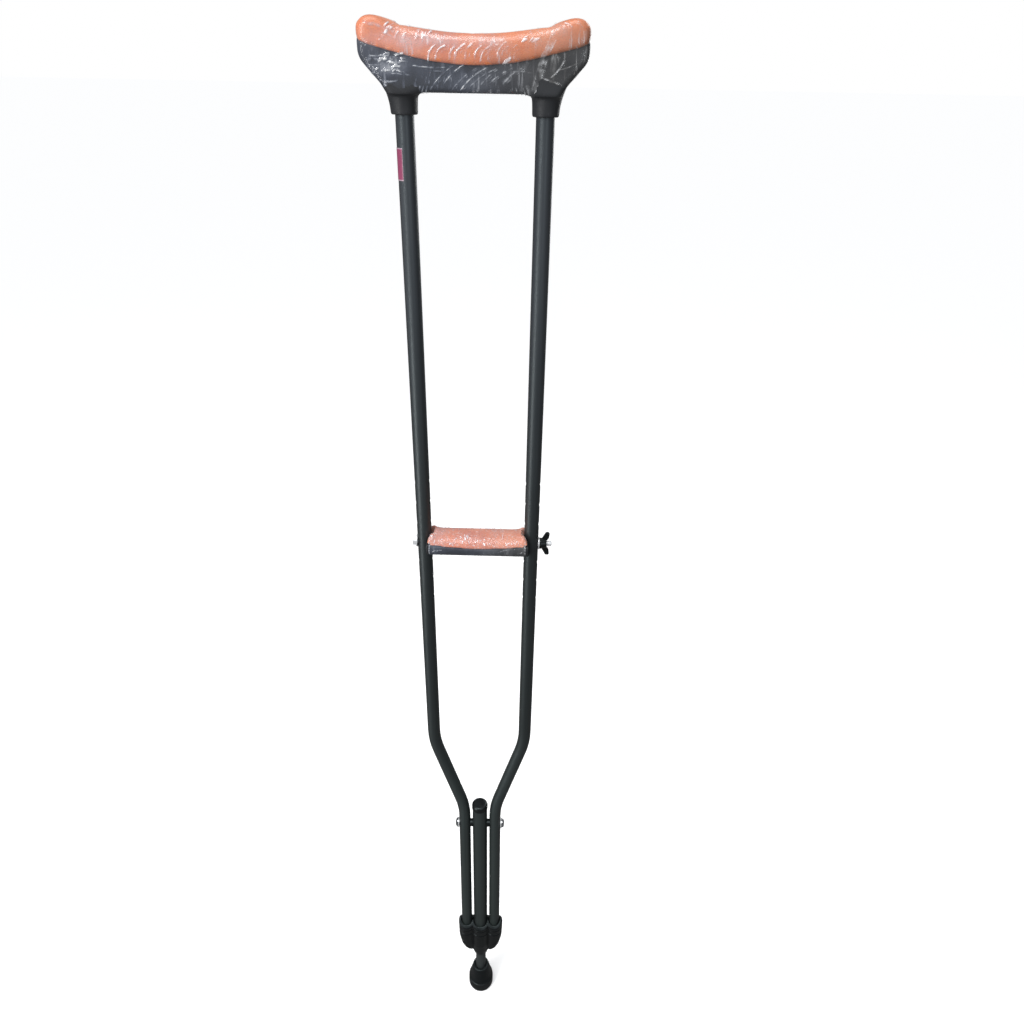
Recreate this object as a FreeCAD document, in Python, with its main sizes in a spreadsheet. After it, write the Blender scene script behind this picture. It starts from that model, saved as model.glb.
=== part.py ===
import FreeCAD, Part
import os

import Sketcher

# An adjustable underarm crutch.
# Millimetres. The origin is the centre of the rubber tip's base, +Z runs up the crutch,
# +X towards the wing nut, and -Y is the face that the user sees.

SIZES = [
    # side tubes
    ("tube_spacing", 119.0),
    ("foot_spacing", 42.8),
    ("side_tube_radius", 8.0),
    ("tube_wall", 1.0),
    ("tube_foot", 137.0),
    ("lower_bend", 439.0),
    ("upper_bend", 569.0),
    ("tube_top", 1335.0),
    ("bend_radius", 130.0),
    # centre tube and the leg that slides in it
    ("centre_tube_radius", 10.3),
    ("centre_tube_wall", 2.0),
    ("centre_tube_foot", 110.0),
    ("centre_tube_top", 442.0),
    ("leg_foot", 14.0),
    ("leg_top", 384.0),
    # adjustment holes
    ("hole_pitch", 25.0),
    ("hole_count", 7.0),
    ("bolt_radius", 3.0),
    ("hole_clearance", 0.3),
    ("grip_height", 880.0),
    ("lower_bolt_height", 404.0),
    ("button_height", 365.0),
    # underarm housing and pad
    ("housing_half_width", 93.0),
    ("housing_half_depth", 19.0),
    ("housing_floor", 1322.2),
    ("socket_foot", 1304.8),
    ("socket_radius", 11.6),
    ("housing_wall", 3.5),
    ("cavity_floor", 1327.5),
    ("border_end", 1360.3),
    ("border_corner", 1333.3),
    ("border_rounding", 244.0),
    ("pad_half_width", 93.4),
    ("pad_half_depth", 22.5),
    ("pad_top", 1377.0),
    ("pad_middle", 1361.3),
    ("pad_gap", 0.1),
    ("pad_edge_rounding", 7.0),
    # bottom bracket
    ("bracket_top", 177.0),
    ("bracket_side_foot", 104.0),
    ("bracket_foot", 93.0),
    ("bracket_side_radius", 13.0),
    ("bracket_centre_radius", 15.0),
    ("bracket_web_half_depth", 9.0),
    ("bracket_half_depth", 16.0),
    ("roof_drop", 13.0),
    ("mouth_floor", 168.5),
    ("mouth_gap", 1.0),
    ("upper_groove", 160.0),
    ("lower_groove", 149.5),
    ("groove_depth", 0.9),
    ("groove_width", 1.8),
    # hand grip
    ("grip_half_depth", 19.0),
    ("grip_half_thickness", 14.0),
    ("grip_half_length", 56.5),
    ("grip_border_middle", 1.5),
    ("grip_border_end", 5.5),
    ("slide_gap", 0.3),
    ("cushion_crown", 13.0),
    # bolts, washers and nuts
    ("washer_radius", 7.0),
    ("washer_thickness", 1.1),
    ("head_radius", 6.5),
    ("head_height", 4.0),
    ("face_gap", 0.1),
    ("bore_gap", 0.2),
    ("nut_thread_gap", 0.05),
    ("cap_nut_height", 4.2),
    ("cap_nut_depth", 2.7),
    ("spacer_radius", 5.5),
    ("spacer_length", 9.0),
    ("grip_bolt_reach", 82.5),
    ("wing_half_span", 14.5),
    ("wing_thickness", 3.0),
    ("hub_length", 8.0),
    ("hub_radius", 6.3),
    # rubber tip
    ("tip_radius", 19.7),
    ("tip_height", 50.0),
    ("tip_mouth", 1.2),
    ("disc_thickness", 1.5),
    ("tread_depth", 2.0),
    # snap button
    ("clip_thickness", 0.6),
    ("clip_width", 6.0),
    ("clip_front", 5.8),
    ("clip_back", 4.8),
    ("clip_drop", 29.0),
    ("clip_rise", 7.0),
    ("clip_bend", 5.2),
    ("button_radius", 3.0),
    ("button_length", 7.5),
    # label
    ("label_thickness", 0.25),
    ("label_foot", 1254.0),
    ("label_height", 26.0),
    ("label_turn", 150.0),
]


class Cell(float):
    """A size, kept together with the spreadsheet expression that gives it."""

    def __new__(cls, value, text):
        cell = float.__new__(cls, value)
        cell.text = text
        return cell

    def __add__(self, other):
        return Cell(float(self) + float(other), f"({self.text} + {text_of(other)})")

    def __radd__(self, other):
        return Cell(float(other) + float(self), f"({text_of(other)} + {self.text})")

    def __sub__(self, other):
        return Cell(float(self) - float(other), f"({self.text} - {text_of(other)})")

    def __rsub__(self, other):
        return Cell(float(other) - float(self), f"({text_of(other)} - {self.text})")

    def __mul__(self, other):
        return Cell(float(self) * float(other), f"({self.text} * {text_of(other)})")

    def __rmul__(self, other):
        return Cell(float(other) * float(self), f"({text_of(other)} * {self.text})")

    def __neg__(self):
        return Cell(-float(self), f"(-1 * {self.text})")


def text_of(value):
    """The expression text of a size or a plain number."""
    return value.text if isinstance(value, Cell) else f"({float(value):g})"


doc = FreeCAD.newDocument("underarm_crutch")
sheet = doc.addObject("Spreadsheet::Sheet", "sizes")


class Sizes:
    """The spreadsheet's sizes, by name."""


size = Sizes()
for row, (alias, number) in enumerate(SIZES, start=1):
    sheet.set(f"A{row}", alias)
    sheet.set(f"B{row}", f"{number:g}")
    sheet.setAlias(f"B{row}", alias)
    setattr(size, alias, Cell(number, f"sizes.{alias}"))
doc.recompute()

V = FreeCAD.Vector
Z_TO_X = FreeCAD.Rotation(V(0, 1, 0), 90)
Z_TO_Y = FreeCAD.Rotation(V(1, 0, 0), -90)
Z_TO_LEFT = FreeCAD.Rotation(V(0, 1, 0), -90)
QUARTER = FreeCAD.Rotation(V(0, 0, 1), 90)
UPRIGHT = FreeCAD.Rotation()
parts = []


def keep(thing, node):
    """Name a finished sub-part after its node."""
    thing.Label = node
    parts.append(thing)
    return thing


def bind(thing, **values):
    """Bind properties to the spreadsheet; __ stands for the dot of a nested property."""
    for name, value in values.items():
        thing.setExpression(name.replace("__", "."), text_of(value))
    return thing


def place(thing, x=0.0, y=0.0, z=0.0, turn=UPRIGHT):
    """Stand a thing at a place, with its rotation."""
    thing.Placement = FreeCAD.Placement(V(float(x), float(y), float(z)), turn)
    return bind(thing, Placement__Base__x=x, Placement__Base__y=y, Placement__Base__z=z)


# Part primitives and booleans


def cylinder(name, radius, height, **where):
    return place(bind(doc.addObject("Part::Cylinder", name), Radius=radius, Height=height), **where)


def box(name, length, width, height, **where):
    thing = doc.addObject("Part::Box", name)
    return place(bind(thing, Length=length, Width=width, Height=height), **where)


def fuse(name, *shapes):
    thing = doc.addObject("Part::MultiFuse", name)
    thing.Shapes = list(shapes)
    return thing


def cut(name, base, *tools):
    tool = tools[0] if len(tools) == 1 else fuse(name + "_tools", *tools)
    thing = doc.addObject("Part::Cut", name)
    thing.Base, thing.Tool = base, tool
    return thing


def common(name, first, second):
    thing = doc.addObject("Part::MultiCommon", name)
    thing.Shapes = [first, second]
    return thing


def ring(name, radius, bore, height, **where):
    """A flat ring or a straight tube."""
    outer = cylinder(name + "_outer", radius, height, **where)
    inner = cylinder(name + "_inner", bore, height, **where)
    return cut(name, outer, inner)


# sketches and bodies


def new_body(name):
    return doc.addObject("PartDesign::Body", name)


def sketch_on(body, name, role, offset=0.0):
    """A sketch on one of the body's own origin planes."""
    plane = next(item for item in body.Origin.OriginFeatures if item.Role == role)
    sketch = body.newObject("Sketcher::SketchObject", name)
    sketch.AttachmentSupport = [(plane, "")]
    sketch.MapMode = "FlatFace"
    sketch.AttachmentOffset = FreeCAD.Placement(V(0, 0, float(offset)), UPRIGHT)
    return bind(sketch, AttachmentOffset__Base__z=offset)


def pin(sketch, geometry, vertex, x, y):
    """Fix a sketch point at a place given from the sketch's origin."""
    for kind, value, axis in (("DistanceX", x, -2), ("DistanceY", y, -1)):
        if float(value) == 0.0:
            sketch.addConstraint(Sketcher.Constraint("PointOnObject", geometry, vertex, axis))
            continue
        limit = Sketcher.Constraint(kind, -1, 1, geometry, vertex, float(value))
        number = sketch.addConstraint(limit)
        sketch.setExpression(f"Constraints[{number}]", text_of(value))


def circle(sketch, x, y, radius):
    number = sketch.addGeometry(Part.Circle(V(float(x), float(y), 0), V(0, 0, 1), float(radius)))
    pin(sketch, number, 3, x, y)
    limit = sketch.addConstraint(Sketcher.Constraint("Radius", number, float(radius)))
    sketch.setExpression(f"Constraints[{limit}]", text_of(radius))


def outline(sketch, corners, closed=True):
    """Straight edges between corners (x, y), rounded where a corner has a third value."""
    points = [V(float(corner[0]), float(corner[1]), 0) for corner in corners]
    count = len(points)
    edges = count if closed else count - 1
    for index in range(edges):
        sketch.addGeometry(Part.LineSegment(points[index], points[(index + 1) % count]))
    for index in range(count if closed else edges - 1):
        sketch.addConstraint(Sketcher.Constraint("Coincident", index, 2, (index + 1) % count, 1))
    for index, corner in enumerate(corners):
        edge, vertex = (index, 1) if index < edges else (index - 1, 2)
        pin(sketch, edge, vertex, corner[0], corner[1])
    for index, corner in enumerate(corners):
        if len(corner) < 3:
            continue
        before, after = (index - 1) % count, index
        near_before = points[index] + (points[before] - points[index]) * 0.5
        near_after = points[index] + (points[(index + 1) % count] - points[index]) * 0.5
        sketch.fillet(before, after, near_before, near_after, float(corner[2]), True, True)
        arc = sketch.GeometryCount - 2
        limit = sketch.addConstraint(Sketcher.Constraint("Radius", arc, float(corner[2])))
        sketch.setExpression(f"Constraints[{limit}]", text_of(corner[2]))


def mirrored(half):
    """A right-hand run of corners, followed back on the left; a corner at x 0 stays single."""
    left = [(-corner[0], *corner[1:]) for corner in reversed(half) if float(corner[0]) != 0.0]
    return half + left


def slab(name, role, corners, thickness, **where):
    """An outline padded by half its thickness to each side of its plane."""
    body = new_body(name)
    sketch = sketch_on(body, name + "_outline", role)
    outline(sketch, corners)
    pad = body.newObject("PartDesign::Pad", name + "_pad")
    pad.Profile = sketch
    pad.SideType = "Symmetric"
    bind(pad, Length=thickness)
    return place(body, **where)


def lathe(name, corners, **where):
    """A profile of (radius, height) corners, turned about the body's Z axis."""
    body = new_body(name)
    sketch = sketch_on(body, name + "_profile", "XZ_Plane")
    outline(sketch, corners)
    turn = body.newObject("PartDesign::Revolution", name + "_turn")
    turn.Profile = sketch
    turn.ReferenceAxis = (sketch, ["V_Axis"])
    turn.Angle = 360
    return place(body, **where)


def round_edges(body, name, radius, wanted):
    """Round those edges of the body's tip whose middle point is wanted."""
    doc.recompute()
    base = body.Tip
    edges = []
    for number, edge in enumerate(base.Shape.Edges, start=1):
        middle = edge.valueAt((edge.FirstParameter + edge.LastParameter) / 2)
        if wanted(middle):
            edges.append(f"Edge{number}")
    fillet = body.newObject("PartDesign::Fillet", name)
    fillet.Base = (base, edges)
    return bind(fillet, Radius=radius)


def row_of_holes(body, name, role, first, one_way):
    """Bolt holes along a tube: one sketched and cut, then repeated up the tube."""
    sketch = sketch_on(body, name + "_circle", role)
    circle(sketch, first[0], first[1], size.bolt_radius + size.hole_clearance)
    hole = body.newObject("PartDesign::Pocket", name)
    hole.Profile = sketch
    hole.Type = "ThroughAll"
    if one_way:
        hole.Reversed = False
    else:
        hole.SideType = "Symmetric"
    body.Tip = hole
    pattern = body.newObject("PartDesign::LinearPattern", name + "_row")
    pattern.Originals = [hole]
    pattern.Direction = (sketch, ["V_Axis"])
    bind(pattern, Length=size.hole_pitch * (size.hole_count - 1), Occurrences=size.hole_count)
    body.Tip = pattern
    return pattern


# the frame


def side_tube(node, side):
    """One side tube: straight below, two bends outwards, straight up to the housing."""
    foot_x = size.foot_spacing * (side / 2)
    top_x = size.tube_spacing * (side / 2)
    body = new_body(node + "_body")
    section = sketch_on(body, node + "_section", "XY_Plane", size.tube_foot)
    circle(section, foot_x, 0.0, size.side_tube_radius)
    circle(section, foot_x, 0.0, size.side_tube_radius - size.tube_wall)
    route = sketch_on(body, node + "_route", "XZ_Plane")
    corners = [
        (foot_x, size.tube_foot),
        (foot_x, size.lower_bend, size.bend_radius),
        (top_x, size.upper_bend, size.bend_radius),
        (top_x, size.tube_top),
    ]
    outline(route, corners, closed=False)
    pipe = body.newObject("PartDesign::AdditivePipe", node + "_pipe")
    pipe.Profile = section
    pipe.Spine = route
    body.Tip = pipe
    doc.recompute()
    lowest = size.grip_height - size.hole_pitch * ((size.hole_count - 1) * 0.5)
    row_of_holes(body, node + "_grip_holes", "YZ_Plane", (0.0, lowest), one_way=False)
    bolt_circle = sketch_on(body, node + "_lower_circle", "YZ_Plane")
    circle(bolt_circle, 0.0, size.lower_bolt_height, size.bolt_radius + size.hole_clearance)
    hole = body.newObject("PartDesign::Pocket", node + "_lower_hole")
    hole.Profile = bolt_circle
    hole.Type = "ThroughAll"
    hole.SideType = "Symmetric"
    body.Tip = hole
    return keep(body, node)


def centre_tube():
    """The outer tube of the telescoping leg, with its row of button holes at the back."""
    body = new_body("centre_tube_body")
    section = sketch_on(body, "centre_tube_section", "XY_Plane", size.centre_tube_foot)
    circle(section, 0.0, 0.0, size.centre_tube_radius)
    circle(section, 0.0, 0.0, size.centre_tube_radius - size.centre_tube_wall)
    pad = body.newObject("PartDesign::Pad", "centre_tube_pad")
    pad.Profile = section
    bind(pad, Length=size.centre_tube_top - size.centre_tube_foot)
    doc.recompute()
    lowest = size.button_height - size.hole_pitch * (size.hole_count - 1)
    row_of_holes(body, "centre_tube_button_holes", "XZ_Plane", (0.0, lowest), one_way=True)
    bolt_circle = sketch_on(body, "centre_tube_bolt_circle", "YZ_Plane")
    circle(bolt_circle, 0.0, size.lower_bolt_height, size.bolt_radius + size.hole_clearance)
    hole = body.newObject("PartDesign::Pocket", "centre_tube_bolt_hole")
    hole.Profile = bolt_circle
    hole.Type = "ThroughAll"
    hole.SideType = "Symmetric"
    body.Tip = hole
    return keep(body, "centre_tube")


def centre_tube_cap():
    """A pressed-on plastic cap with a domed top."""
    outer = size.centre_tube_radius + 0.7
    skirt = size.centre_tube_top - 5.5
    corners = [
        (0.0, skirt + 8.5),
        (outer, skirt + 8.5, 3.5),
        (outer, skirt),
        (size.centre_tube_radius, skirt),
        (size.centre_tube_radius, size.centre_tube_top),
        (0.0, size.centre_tube_top),
    ]
    return keep(lathe("centre_tube_cap_body", corners), "centre_tube_cap")


def underarm_housing():
    """The cross piece that takes both side tubes in tapered sockets."""
    arch_x = size.tube_spacing * 0.5 - size.socket_radius
    half = [
        (0.0, size.border_corner, size.border_rounding),
        (size.housing_half_width, size.border_end),
        (size.housing_half_width, size.border_end - 13.8, 14.0),
        (size.housing_half_width - 17.0, size.housing_floor + 6.0, 8.0),
        (size.housing_half_width - 22.0, size.housing_floor - 2.0),
        (arch_x, size.housing_floor - 2.0),
        (arch_x - 6.0, size.housing_floor, 4.0),
    ]
    plate = slab("housing_plate", "XZ_Plane", mirrored(half), size.housing_half_depth * 2)
    face = float(size.housing_half_depth) - 0.01
    floor = float(size.housing_floor)
    border_slope = 0.28
    round_edges(
        plate,
        "housing_rounding",
        5.0,
        lambda middle: abs(middle.y) > face
        and floor - 0.5 < middle.z < float(size.border_corner) + border_slope * abs(middle.x) - 4.0,
    )
    solids, tools = [plate], []
    # each socket's sections, from the foot up: height, outward shift, radius along X and along Y
    flare = [
        (0.0, 0.0, 0.0, 0.0),
        (5.0, 0.1, 0.1, 0.2),
        (14.0, 0.8, 1.2, 2.4),
        (26.0, 2.5, 4.2, 6.6),
    ]
    for side, name in ((-1, "left"), (1, "right")):
        tube_x = size.tube_spacing * (side / 2)
        sections = []
        for number, (rise, shift, more_x, more_y) in enumerate(flare, start=1):
            section = doc.addObject("Part::Ellipse", f"socket_{name}_{number}")
            bind(section, MajorRadius=size.socket_radius + more_y,
                 MinorRadius=size.socket_radius + more_x)
            place(section, x=tube_x + side * shift, z=size.socket_foot + rise, turn=QUARTER)
            sections.append(section)
        loft = doc.addObject("Part::Loft", f"socket_{name}")
        loft.Sections = sections
        loft.Solid = True
        solids.append(loft)
        tools.append(cylinder(f"socket_{name}_bore", size.side_tube_radius + 0.02,
                              size.tube_top - size.socket_foot + 1.0,
                              x=tube_x, z=size.socket_foot - 1.0))
    cavity_x = arch_x - size.housing_wall
    cavity_y = size.housing_half_depth - size.housing_wall
    tools.append(box("housing_cavity", cavity_x * 2, cavity_y * 2, 40.0,
                     x=-cavity_x, y=-cavity_y, z=size.cavity_floor))
    shell = cut("underarm_housing_shell", fuse("underarm_housing_solid", *solids), *tools)
    return keep(shell, "underarm_housing")


def underarm_pad():
    """The foam pad that lies on the housing, with a raised bulb at each end."""
    half = [
        (0.0, size.border_corner + size.pad_gap, size.border_rounding),
        (size.pad_half_width - 2.5, size.border_end - 0.4),
        (size.pad_half_width, size.border_end + 1.6),
        (size.pad_half_width, size.pad_top, 11.0),
        (size.pad_half_width - 15.7, size.pad_top, 20.0),
        (size.pad_half_width - 32.5, size.pad_top - 8.0, 30.0),
    ]
    corners = mirrored(half)
    top_middle = (0.0, size.pad_middle, 300.0)
    corners.insert(len(half), top_middle)
    pad = slab("underarm_pad_body", "XZ_Plane", corners, size.pad_half_depth * 2)
    face = float(size.pad_half_depth) - 0.01
    shoulder = float(size.border_end) + 1.6
    round_edges(
        pad,
        "underarm_pad_rounding",
        size.pad_edge_rounding,
        lambda middle: abs(middle.y) > face and middle.z > shoulder,
    )
    return keep(pad, "underarm_pad")


def bottom_bracket():
    """Three joined sockets that hold the feet of the side tubes and the centre tube."""
    side_x = size.foot_spacing * 0.5
    foot, side_foot, top = size.bracket_foot, size.bracket_side_foot, size.bracket_top
    side_radius, centre_radius = size.bracket_side_radius, size.bracket_centre_radius
    web_half, half_depth = size.bracket_web_half_depth, size.bracket_half_depth
    side_profile = [
        (0.0, side_foot),
        (side_radius, side_foot),
        (side_radius, top - 5.0, 3.0),
        (side_radius - 2.0, top),
        (0.0, top),
    ]
    left = lathe("bracket_left_column", side_profile, x=-side_x)
    right = lathe("bracket_right_column", side_profile, x=side_x)
    web = box("bracket_web", side_x * 2, web_half * 2, top - side_foot - 2.0,
              x=-side_x, y=-web_half, z=side_foot)
    taper = [
        (0.0, side_foot),
        (10.4, side_foot),
        (22.6, side_foot + 13.0),
        (28.6, side_foot + 22.5),
        (33.4, side_foot + 38.0, 12.0),
        (35.3, top + 5.0),
    ]
    envelope = slab("bracket_envelope", "XZ_Plane", mirrored(taper), half_depth * 2)
    sides = common("bracket_sides", fuse("bracket_outer", left, right, web), envelope)
    centre_profile = [
        (0.0, foot),
        (centre_radius - 3.7, foot, 1.5),
        (centre_radius - 1.4, foot + 11.0, 6.0),
        (centre_radius, foot + 27.0, 20.0),
        (centre_radius, top - 5.0, 3.0),
        (centre_radius - 1.6, top),
        (0.0, top),
    ]
    centre = lathe("bracket_centre_column", centre_profile)
    # the top slopes down towards the front and the back
    ridge = [
        (half_depth, foot - 1.0),
        (half_depth, top - size.roof_drop),
        (0.0, top, 2.0),
    ]
    left_ridge = [(-corner[0], *corner[1:]) for corner in reversed(ridge[:2])]
    roof = slab("bracket_roof", "YZ_Plane", ridge + left_ridge, size.foot_spacing * 2)
    solid = common("bracket_solid", fuse("bracket_columns", sides, centre), roof)

    tubes = [
        ("left", -side_x, size.side_tube_radius, side_radius, size.tube_foot),
        ("centre", 0.0, size.centre_tube_radius, centre_radius, size.centre_tube_foot),
        ("right", side_x, size.side_tube_radius, side_radius, size.tube_foot),
    ]
    tools = []
    for name, x, radius, _, tube_foot in tubes:
        tools.append(cylinder(f"bracket_{name}_bore", radius + 0.02, top - tube_foot + 1.0,
                              x=x, z=tube_foot))
        tools.append(cylinder(f"bracket_{name}_mouth", radius + size.mouth_gap,
                              top - size.mouth_floor + 1.0, x=x, z=size.mouth_floor))
    tools.append(cylinder("bracket_leg_bore", size.side_tube_radius + size.slide_gap,
                          size.centre_tube_foot - foot + 2.0, z=foot - 1.0))
    for number, height in enumerate((size.upper_groove, size.lower_groove), start=1):
        band = box(f"bracket_band_{number}", size.foot_spacing * 2, half_depth * 2, size.groove_width,
                   x=-size.foot_spacing, y=-half_depth, z=height)
        cores = [
            cylinder(f"band_{number}_core_{name}", column - size.groove_depth,
                     size.groove_width + 2.0, x=x, z=height - 1.0)
            for name, x, _, column, _ in tubes
        ]
        cores.append(box(f"band_{number}_core_web", side_x * 2, web_half * 2,
                         size.groove_width + 2.0, x=-side_x, y=-web_half, z=height - 1.0))
        tools.append(cut(f"bracket_groove_{number}", band, *cores))
    return keep(cut("bottom_bracket_cut", solid, *tools), "bottom_bracket")


def lower_fasteners():
    """The bolt through all three tubes, with its cap nut, washers and saddle spacers."""
    side_x = size.foot_spacing * 0.5
    washer_start = side_x + size.side_tube_radius + size.face_gap
    seat = washer_start + size.washer_thickness
    height = size.lower_bolt_height
    bore = size.bolt_radius + size.bore_gap

    dome = [
        (0.0, 0.0),
        (size.head_radius, 0.0),
        (size.head_radius, 1.2),
        (size.head_radius - 2.2, size.head_height - 0.4, 3.0),
        (0.0, size.head_height),
    ]
    head = lathe("lower_bolt_head", dome, x=-seat, z=height, turn=Z_TO_LEFT)
    shank = cylinder("lower_bolt_shank", size.bolt_radius, seat * 2 + 2.0,
                     x=-seat, z=height, turn=Z_TO_X)
    keep(fuse("lower_bolt_solid", head, shank), "lower_bolt")

    thread = size.bolt_radius + size.nut_thread_gap
    nut_radius = size.head_radius - 0.3
    nut_dome = [
        (thread, 0.0),
        (nut_radius, 0.0),
        (nut_radius, 1.4),
        (nut_radius - 1.9, size.cap_nut_height - 0.4, 2.0),
        (0.0, size.cap_nut_height),
        (0.0, size.cap_nut_depth),
        (thread, size.cap_nut_depth),
    ]
    keep(lathe("lower_cap_nut_body", nut_dome, x=seat, z=height, turn=Z_TO_X), "lower_bolt_cap_nut")

    washers, spacers = [], []
    saddle = 20.0
    for side, name in ((-1, "left"), (1, "right")):
        near = -seat if side < 0 else washer_start
        washers.append(ring(f"lower_washer_{name}", size.washer_radius, bore,
                            size.washer_thickness, x=near, z=height, turn=Z_TO_X))
        start = (7.0 if side > 0 else -7.0 - size.spacer_length)
        spacers.append(cut(
            f"spacer_{name}",
            cylinder(f"spacer_{name}_blank", size.spacer_radius, size.spacer_length,
                     x=start, z=height, turn=Z_TO_X),
            cylinder(f"spacer_{name}_bore", bore, size.spacer_length,
                     x=start, z=height, turn=Z_TO_X),
            cylinder(f"spacer_{name}_inner_saddle", size.centre_tube_radius + 0.05, saddle,
                     z=height - saddle / 2),
            cylinder(f"spacer_{name}_outer_saddle", size.side_tube_radius + 0.05, saddle,
                     x=side_x * side, z=height - saddle / 2),
        ))
    keep(fuse("lower_washers_pair", *washers), "lower_bolt_washers")
    keep(fuse("spacers_pair", *spacers), "lower_bolt_spacers")


def size_label():
    """A thin label wrapped round the outside of the left tube, below the housing."""
    where = dict(x=size.tube_spacing * -0.5, z=size.label_foot)
    outer = cylinder("label_outer", size.side_tube_radius + size.label_thickness,
                     size.label_height, **where)
    inner = cylinder("label_inner", size.side_tube_radius + 0.02, size.label_height, **where)
    for thing in (outer, inner):
        thing.Placement.Rotation = FreeCAD.Rotation(V(0, 0, 1), 102)
        bind(thing, Angle=size.label_turn)
    return keep(cut("size_label_cut", outer, inner), "size_label")


# the hand grip


def oval_bar(name, half_thickness):
    """A bar of oval section lying along X, as long as the grip."""
    section = doc.addObject("Part::Ellipse", name + "_section")
    bind(section, MajorRadius=size.grip_half_depth, MinorRadius=half_thickness)
    place(section, x=-size.grip_half_length, z=size.grip_height,
          turn=FreeCAD.Rotation(V(0, 1, 0), V(0, 0, 1), V(1, 0, 0), "ZXY"))
    bar = doc.addObject("Part::Extrusion", name)
    bar.Base = section
    bar.DirMode = "Custom"
    bar.Dir = V(1, 0, 0)
    bar.Solid = True
    return bind(bar, LengthFwd=size.grip_half_length * 2)


def grip_pieces():
    """A hard core that saddles both tubes, and the soft cover on its upper half."""
    border = [
        (0.0, size.grip_height + (size.grip_border_middle * 2 - size.grip_border_end), 390.0),
        (size.grip_half_length + 1.0, size.grip_height + size.grip_border_end),
    ]
    below = mirrored(border + [(size.grip_half_length + 1.0, size.grip_height - 20.0)])
    above = mirrored(border + [(size.grip_half_length + 1.0, size.grip_height + 20.0)])
    for node, corners, half_thickness in (
        ("grip_core", below, size.grip_half_thickness),
        ("grip_cushion", above, size.cushion_crown),
    ):
        zone = slab(node + "_zone", "XZ_Plane", corners, 50.0)
        blank = common(node + "_blank", oval_bar(node + "_bar", half_thickness), zone)
        tools = [
            cylinder(f"{node}_{name}_saddle", size.side_tube_radius + size.slide_gap, 60.0,
                     x=size.tube_spacing * (side / 2), z=size.grip_height - 30.0)
            for side, name in ((-1, "left"), (1, "right"))
        ]
        tools.append(cylinder(node + "_bolt_bore", size.bolt_radius + 0.2, 130.0,
                              x=-65.0, z=size.grip_height, turn=Z_TO_X))
        keep(cut(node + "_cut", blank, *tools), node)


def grip_fasteners():
    """The long hexagon bolt through the tubes and the grip, its washers and its wing nut."""
    height = size.grip_height
    washer_start = size.tube_spacing * 0.5 + size.side_tube_radius + size.face_gap
    seat = washer_start + size.washer_thickness
    hexagon = doc.addObject("Part::Prism", "grip_bolt_hexagon")
    hexagon.Polygon = 6
    bind(hexagon, Circumradius=5.8, Height=size.head_height)
    place(hexagon, x=-seat - size.head_height, z=height, turn=Z_TO_X)
    bevel = [(0.0, 0.0), (4.9, 0.0), (6.2, 1.0), (6.2, size.head_height), (0.0, size.head_height)]
    envelope = lathe("grip_bolt_bevel", bevel, x=-seat - size.head_height, z=height, turn=Z_TO_X)
    point = seat + size.grip_bolt_reach
    end = [
        (0.0, 0.0),
        (size.bolt_radius, 0.0),
        (size.bolt_radius, point - 0.8),
        (size.bolt_radius - 0.8, point),
        (0.0, point),
    ]
    shank = lathe("grip_bolt_shank", end, x=-seat, z=height, turn=Z_TO_X)
    keep(fuse("grip_bolt_solid", common("grip_bolt_head", hexagon, envelope), shank), "grip_bolt")

    for node, start in (("grip_bolt_washer", -seat), ("wing_nut_washer", washer_start)):
        keep(ring(node + "_ring", size.washer_radius, size.bolt_radius + 0.08,
                  size.washer_thickness, x=start, z=height, turn=Z_TO_X), node)

    hub_length, hub_radius, span = size.hub_length, size.hub_radius, size.wing_half_span
    hub = [
        (0.0, size.face_gap),
        (hub_radius, size.face_gap),
        (hub_radius, 1.6, 0.8),
        (hub_radius - 1.4, hub_length, 0.6),
        (0.0, hub_length),
    ]
    wing = [
        (seat + 1.0, height),
        (seat + 1.0, height + 3.0),
        (seat + 7.0, height + span, 2.5),
        (seat + 11.5, height + span, 2.0),
        (seat + 10.6, height + span - 7.0, 4.0),
        (seat + hub_length - 0.8, height + 3.0, 1.5),
        (seat + hub_length - 0.8, height),
    ]
    flipped = [(x, height * 2 - z, *rest) for x, z, *rest in wing]
    blank = fuse(
        "wing_nut_blank",
        lathe("wing_nut_hub", hub, x=seat, z=height, turn=Z_TO_X),
        slab("wing_upper", "XZ_Plane", wing, size.wing_thickness),
        slab("wing_lower", "XZ_Plane", flipped, size.wing_thickness),
    )
    bore = cylinder("wing_nut_bore", size.bolt_radius + size.nut_thread_gap, hub_length + 6.0,
                    x=seat - 1.0, z=height, turn=Z_TO_X)
    keep(cut("wing_nut_cut", blank, bore), "wing_nut")


# the telescoping leg


def leg_tube():
    """The inner tube, with one hole at the back for the snap button."""
    tube = ring("leg_tube_blank", size.side_tube_radius, size.side_tube_radius - size.tube_wall,
                size.leg_top - size.leg_foot, z=size.leg_foot)
    hole = cylinder("leg_button_hole", size.bolt_radius + size.hole_clearance, 12.0,
                    z=size.button_height, turn=Z_TO_Y)
    return keep(cut("leg_tube_cut", tube, hole), "leg_tube")


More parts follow.
